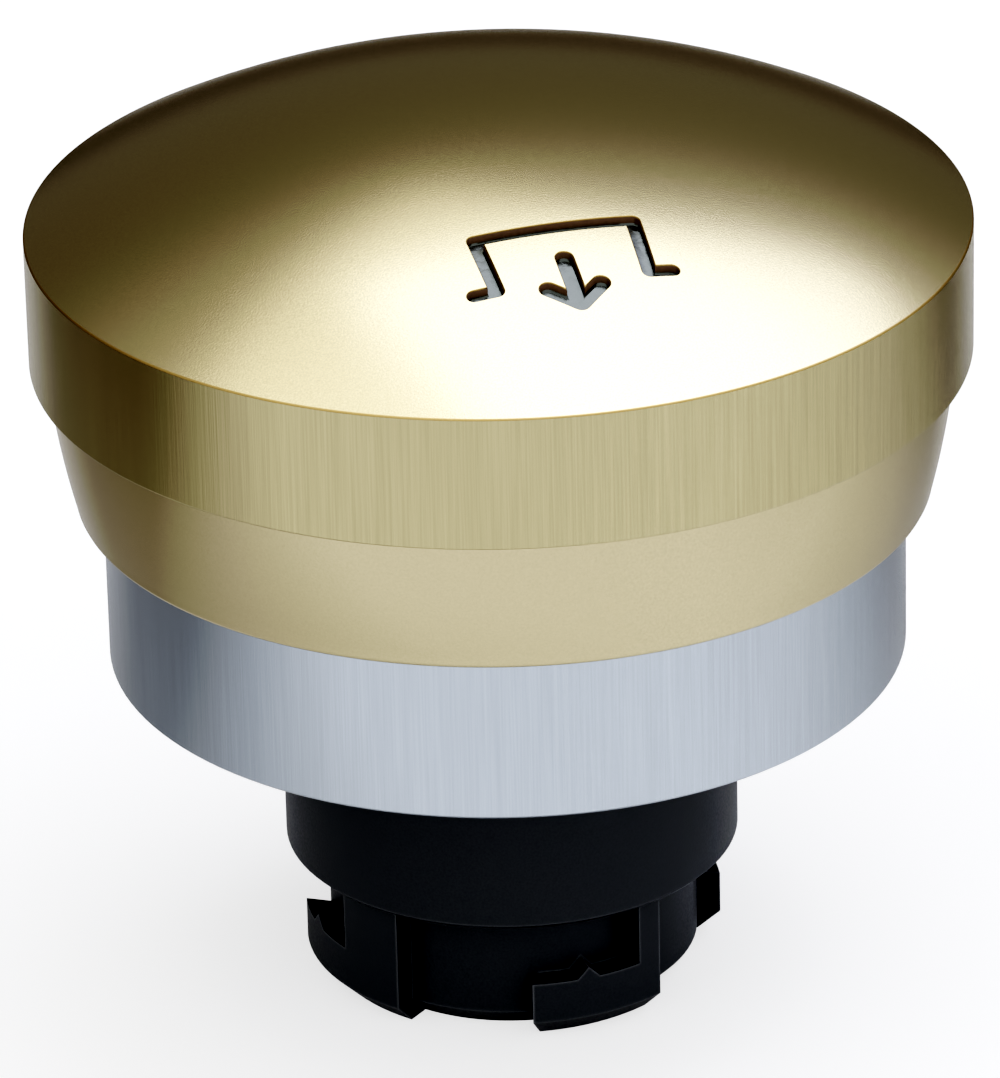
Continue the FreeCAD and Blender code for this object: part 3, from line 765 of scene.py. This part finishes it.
def dark_card():
    """Dark cloth behind the object that only reflections see. It fades in from a straight edge in front
    of the axis and with the distance from the object, and is thinner in a round patch behind it."""
    made = material("dark_cloth", DARK_CLOTH, roughness=1.0, specular_ior_level=0.0)
    nodes, links = made.node_tree.nodes, made.node_tree.links
    place = nodes.new("ShaderNodeTexCoord")
    parts = nodes.new("ShaderNodeSeparateXYZ")
    away = nodes.new("ShaderNodeVectorMath")
    away.operation = "LENGTH"
    behind = nodes.new("ShaderNodeVectorMath")
    behind.operation = "DISTANCE"
    links.new(place.outputs["Object"], parts.inputs["Vector"])
    links.new(place.outputs["Object"], away.inputs[0])
    links.new(place.outputs["Object"], behind.inputs[0])
    turned = math.radians(EDGE_AZIMUTH)
    behind.inputs[1].default_value = Vector((math.sin(turned), math.cos(turned), 0)) * PALE_PATCH * MM
    edge = spread(made, parts.outputs["Y"], 0, 1, *(y * MM for y in EDGE_FADE))
    near = spread(made, away.outputs["Value"], 0, NEAR_SHARE, *(r * MM for r in NEAR_FADE))
    far = spread(made, away.outputs["Value"], 0, 1 - NEAR_SHARE, *(r * MM for r in FAR_FADE))
    pale = spread(made, behind.outputs["Value"], PALE_SHARE, 1, *(r * MM for r in PALE_FADE))
    cloth = combined(made, "MULTIPLY", edge, combined(made, "ADD", near, far))
    plug(made, "Alpha", combined(made, "MULTIPLY", cloth, pale))
    card = plane("dark_card", FLOOR_SIZE, (0, 0, FLOOR_Z + CARD_GAP), made, (0, 0, EDGE_AZIMUTH))
    seen_by(card, False, True, False)


def softbox(name, size, centre, radiance, tilt=(0, 0, 0)):
    """An area light of size (width, depth) with a radiance per colour, facing down before it is tilted."""
    data = bpy.data.lights.new(name, "AREA")
    data.shape = "RECTANGLE"
    data.size, data.size_y = (s * MM for s in size)
    brightest = max(radiance)
    data.color = [r / brightest for r in radiance]
    data.energy = brightest * math.pi * data.size * data.size_y
    lamp = bpy.data.objects.new(name, data)
    lamp.location = Vector(centre) * MM
    lamp.rotation_euler = Euler([math.radians(t) for t in tilt])
    bpy.context.scene.collection.objects.link(lamp)
    return lamp


def studio_world():
    """Pale room in front of and above the object, dark behind it."""
    world = bpy.data.worlds.new("studio")
    world.use_nodes = True
    nodes, links = world.node_tree.nodes, world.node_tree.links
    place = nodes.new("ShaderNodeTexCoord")
    along = nodes.new("ShaderNodeVectorMath")
    along.operation = "DOT_PRODUCT"
    share = nodes.new("ShaderNodeMapRange")
    share.inputs["From Min"].default_value = -1
    ramp = nodes.new("ShaderNodeValToRGB")
    links.new(place.outputs["Generated"], along.inputs[0])
    along.inputs[1].default_value = ROOM_AXIS
    links.new(along.outputs["Value"], share.inputs["Value"])
    links.new(share.outputs["Result"], ramp.inputs["Fac"])
    links.new(ramp.outputs["Color"], nodes["Background"].inputs["Color"])
    stops = ramp.color_ramp.elements
    while len(stops) < len(ROOM):
        stops.new(0.5)
    for stop, (position, colour) in zip(stops, ROOM):
        stop.position, stop.color = (position + 1) / 2, (*colour, 1)
    bpy.context.scene.world = world


white_floor()
lit_floor()
backdrop()
dark_card()
dark_disc("dark_right", (108, 15), 90, 0.5)
softbox("overhead_left", (600, 700), (-27, 139, 605), (1.35, 1.33, 1.23), (0, 0, -34))
softbox("overhead_core", (667, 530), (255, 217, 600), (3.05, 3.2, 3.9), (0, 0, 24))
studio_world()

CAMERA_ELEVATION = 25.976
CAMERA_ROLL = -1.356
CAMERA_DISTANCE = 18.4136 * CAP_R
CAMERA_LENS = 287.1
AIM = Vector((-0.0119 * CAP_R, 0, RIM_Z - 0.7514 * CAP_R))


def studio_camera():
    """The photographer's long lens, a little above the object."""
    data = bpy.data.cameras.new("camera")
    data.lens = CAMERA_LENS
    data.clip_start, data.clip_end = 0.01, 20
    camera = bpy.data.objects.new("camera", data)
    rise = math.radians(CAMERA_ELEVATION)
    away = Vector((0, -math.cos(rise), math.sin(rise)))
    tilt = Euler((math.pi / 2 - rise, 0, 0)).to_matrix()
    turn = tilt @ Matrix.Rotation(math.radians(CAMERA_ROLL), 3, "Z")
    camera.matrix_world = Matrix.Translation((AIM + away * CAMERA_DISTANCE) * MM) @ turn.to_4x4()
    bpy.context.scene.collection.objects.link(camera)
    bpy.context.scene.camera = camera


WHITE_LEVEL = 1.6
TONES = ((0.025, 0.002), (0.0625, 0.055), (0.125, 0.2), (0.3, 0.5), (0.61, 0.8))


def photographic_contrast():
    """A film's tone curve: deep shadows, and highlights that roll off to white at WHITE_LEVEL."""
    settings = bpy.context.scene.view_settings
    settings.view_transform = "Standard"
    settings.use_curve_mapping = True
    mapping = settings.curve_mapping
    mapping.white_level = [WHITE_LEVEL] * 3
    for light, tone in TONES:
        mapping.curves[3].points.new(light, tone)
    mapping.update()


studio_camera()
photographic_contrast()
